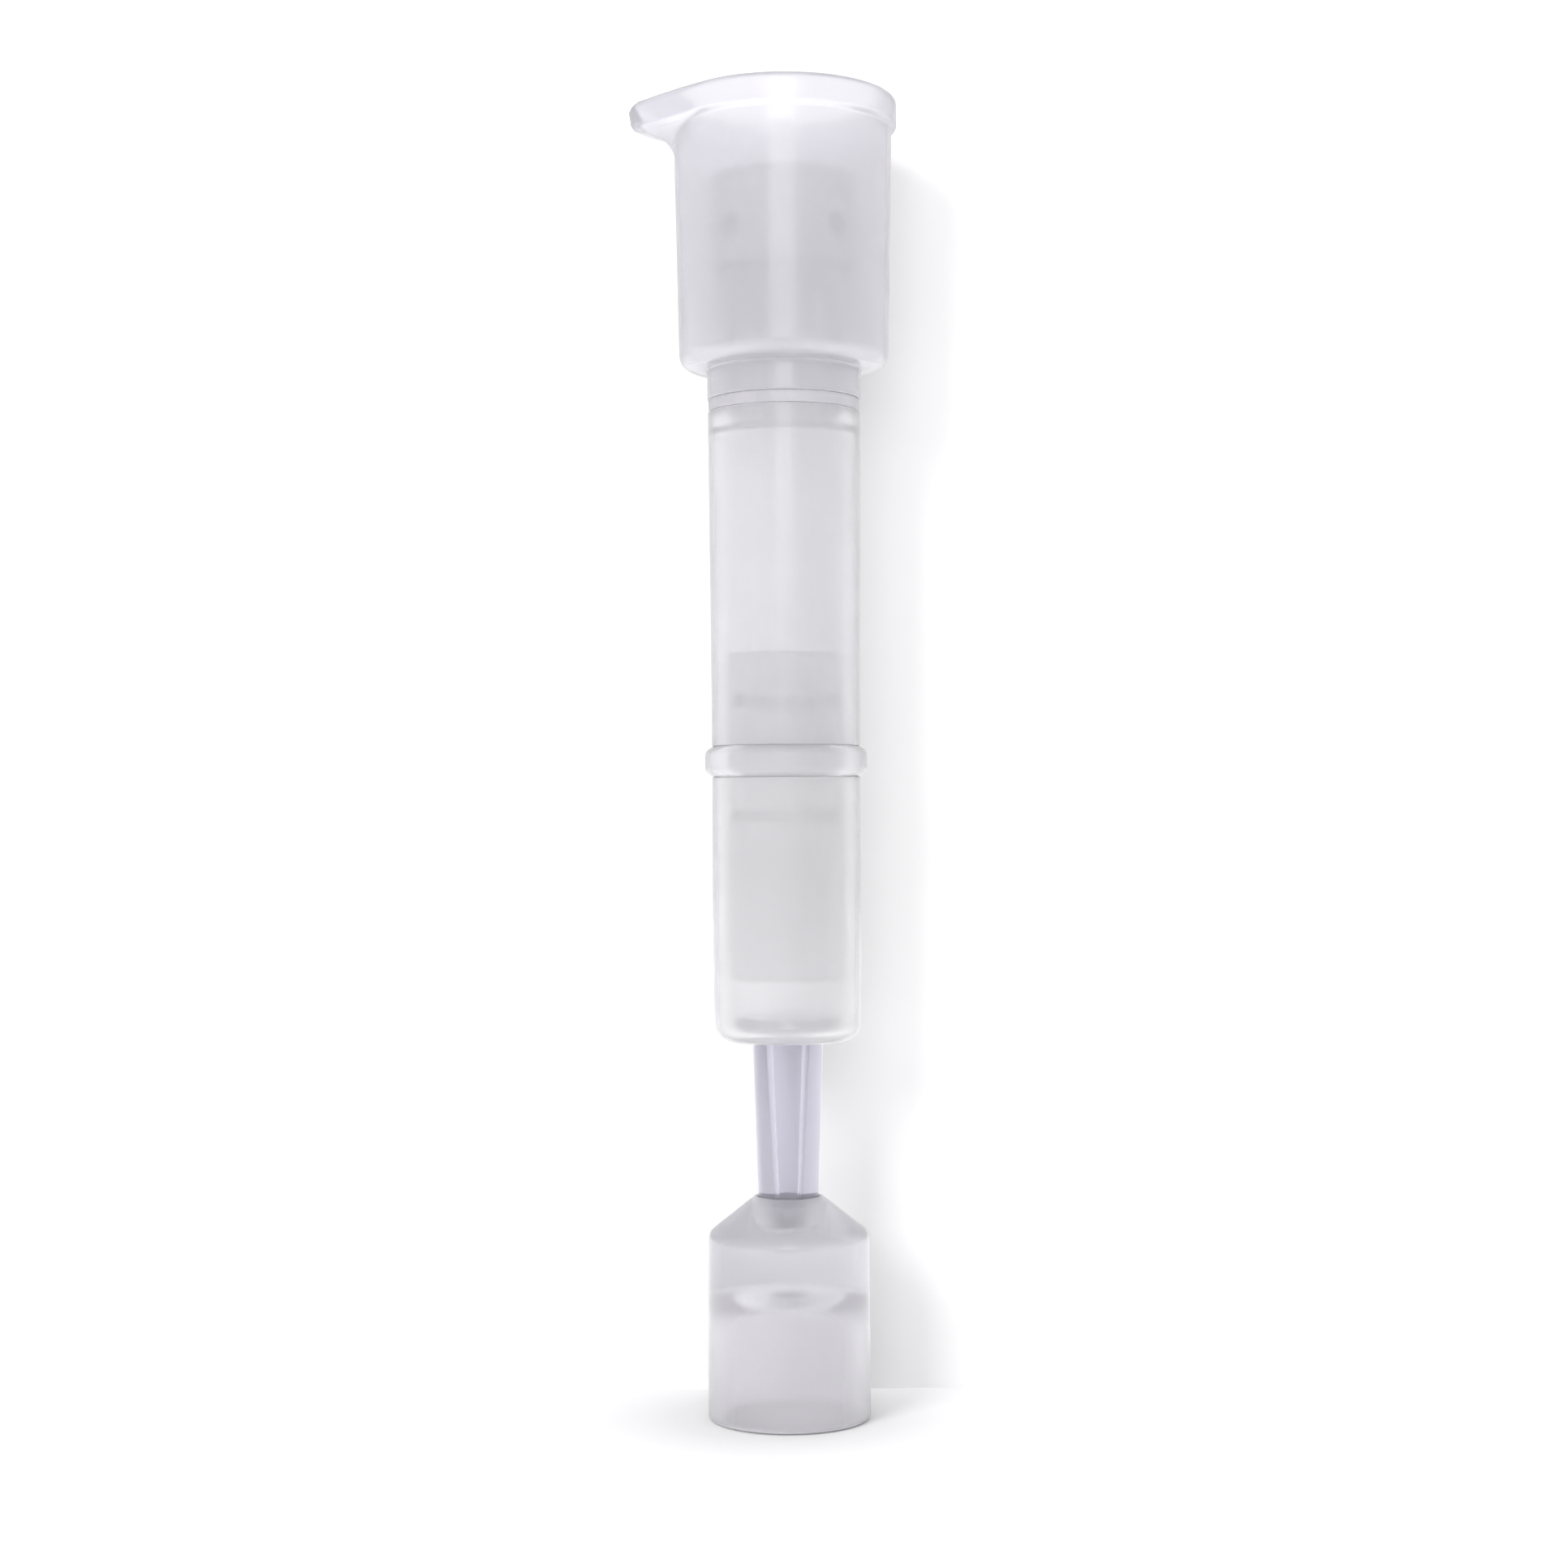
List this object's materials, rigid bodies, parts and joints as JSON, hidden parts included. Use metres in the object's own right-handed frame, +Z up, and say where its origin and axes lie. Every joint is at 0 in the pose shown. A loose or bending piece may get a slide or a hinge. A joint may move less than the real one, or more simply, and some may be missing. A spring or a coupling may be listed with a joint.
{
  "type": "fuel sampler cup",
  "caption": "Clear plastic fuel sampler: cup with pouring lip and valve pin on a sight tube, push-fit lower barrel with a tapered sediment well, and a skirt foot to stand on.",
  "frame": {"origin": "on the surface the foot stands on, at the middle of the footprint box; the upright axis of the tube is 2.6 mm to +X of it because the pouring lip reaches to -X", "axes": "+Z up along the tube towards the cup's mouth, -X towards the pouring lip, +Y away from the viewer"},
  "size_m": [0.0346, 0.0294, 0.1688],
  "materials": {
    "cup_plastic": "clear moulded plastic with a faint lavender grey cast, polished",
    "tube_plastic": "clear tube with faint draw lines, polished",
    "sleeve_plastic": "thin clear liner, clearer than the tubes round it",
    "barrel_plastic": "clear moulded plastic, polished",
    "stem_plastic": "thick clear plastic, polished",
    "foot_plastic": "clear moulded plastic, slightly frosted by handling",
    "carrier_plastic": "clear moulded plastic, satin",
    "pin_plastic": "clear rod, polished",
    "seal_rubber": "translucent silicone rubber, satin"
  },
  "bodies": {
    "standing_barrel": {"lower_barrel": "barrel_plastic", "floor_seal": "seal_rubber", "sediment_stem": "stem_plastic", "foot_skirt": "foot_plastic"},
    "coupling": {"coupling_ring": "tube_plastic", "coupling_sleeve": "sleeve_plastic", "upper_sleeve_seal": "seal_rubber", "lower_sleeve_seal": "seal_rubber"},
    "sampling_tube": {"sight_tube": "tube_plastic", "neck_gasket": "seal_rubber", "cup_shell": "cup_plastic"},
    "probe_holder": {"probe_carrier": "carrier_plastic"},
    "probe": {"valve_pin": "pin_plastic"}
  },
  "joints": [
    {"name": "barrel_pull_off", "type": "slide", "parent": "standing_barrel", "child": "coupling", "axis": [0, 0, 1], "range_m": [0, 0.03]},
    {"name": "tube_turn", "type": "hinge", "parent": "coupling", "child": "sampling_tube", "pos_m": [0.00263, 0, 0.0838], "axis": [0, 0, 1], "continuous": true},
    {"name": "carrier_lift_out", "type": "slide", "parent": "sampling_tube", "child": "probe_holder", "axis": [0, 0, 1], "range_m": [0, 0.032]},
    {"name": "pin_pull_out", "type": "slide", "parent": "probe_holder", "child": "probe", "axis": [0, 0, 1], "range_m": [0, 0.019]}
  ]
}
